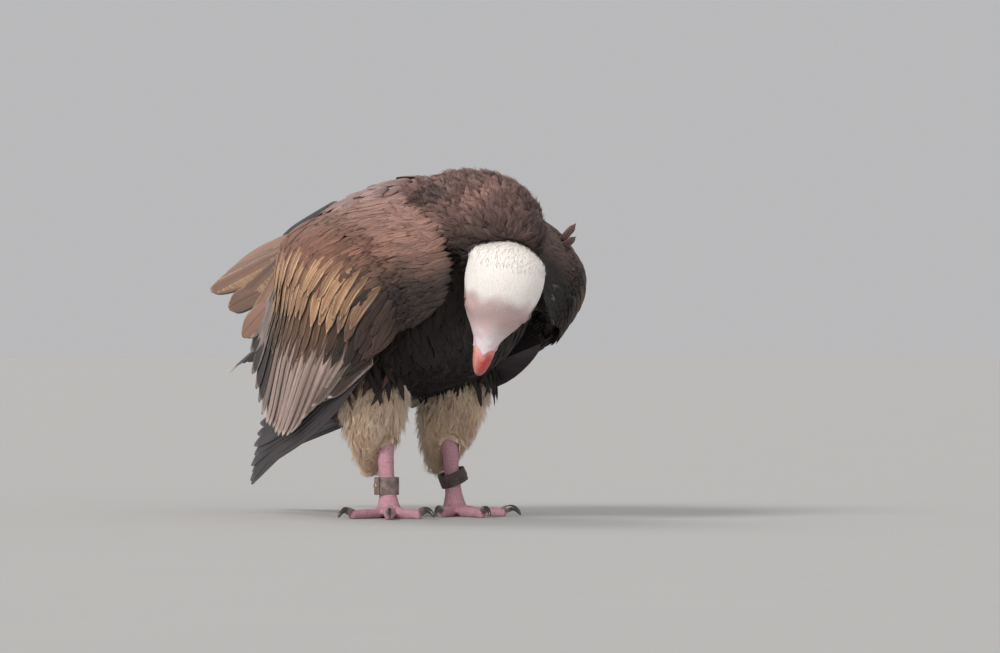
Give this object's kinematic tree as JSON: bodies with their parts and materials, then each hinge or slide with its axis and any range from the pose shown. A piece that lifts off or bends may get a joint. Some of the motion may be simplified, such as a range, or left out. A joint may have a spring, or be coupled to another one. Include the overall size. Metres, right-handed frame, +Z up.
{
  "type": "vulture",
  "caption": "Life-size standing white-headed vulture, head bowed with the bill down, wings hanging loosely, a leather anklet on each leg.",
  "frame": {"origin": "on the floor, under the middle of the bird's box", "axes": "+Z up, the bird faces -Y with its tail towards +Y, and its left side is at +X"},
  "size_m": [0.316, 0.6938, 0.3751],
  "materials": {
    "body_plumage": "soft blackish brown contour feathers",
    "coverts": "brown covert feathers with paler tan edges",
    "secondaries": "pale pinkish grey flight feathers with brown streaks",
    "dark_quills": "blackish flight and tail feathers",
    "trousers": "fluffy cream thigh feathers",
    "head_skin": "white down over pale lilac-pink skin",
    "bill": "coral red horn, bluish white at the cere",
    "eyes": "wet dark amber brown",
    "leg_skin": "pink scaly skin",
    "claws": "dark grey horn",
    "anklets": "worn brown strap leather"
  },
  "bodies": {
    "root": {"anklet_left": "anklets", "anklet_right": "anklets", "bill_lower": "bill", "bill_upper": "bill", "claw_left_1": "claws", "claw_left_2": "claws", "claw_left_3": "claws", "claw_left_4": "claws", "claw_right_1": "claws", "claw_right_2": "claws", "claw_right_3": "claws", "claw_right_4": "claws", "eye_left": "eyes", "eye_right": "eyes", "head": "head_skin", "neck": "body_plumage", "scapulars_left": "coverts", "scapulars_right": "coverts", "shank_left": "leg_skin", "shank_right": "leg_skin", "tail": "dark_quills", "thigh_left": "trousers", "thigh_right": "trousers", "toe_left_1": "leg_skin", "toe_left_2": "leg_skin", "toe_left_3": "leg_skin", "toe_left_4": "leg_skin", "toe_right_1": "leg_skin", "toe_right_2": "leg_skin", "toe_right_3": "leg_skin", "toe_right_4": "leg_skin", "trunk": "body_plumage", "wing_left_arm": "coverts", "wing_left_primaries": "dark_quills", "wing_left_secondaries": "secondaries", "wing_right_arm": "coverts", "wing_right_primaries": "dark_quills", "wing_right_secondaries": "secondaries"}
  },
  "joints": []
}
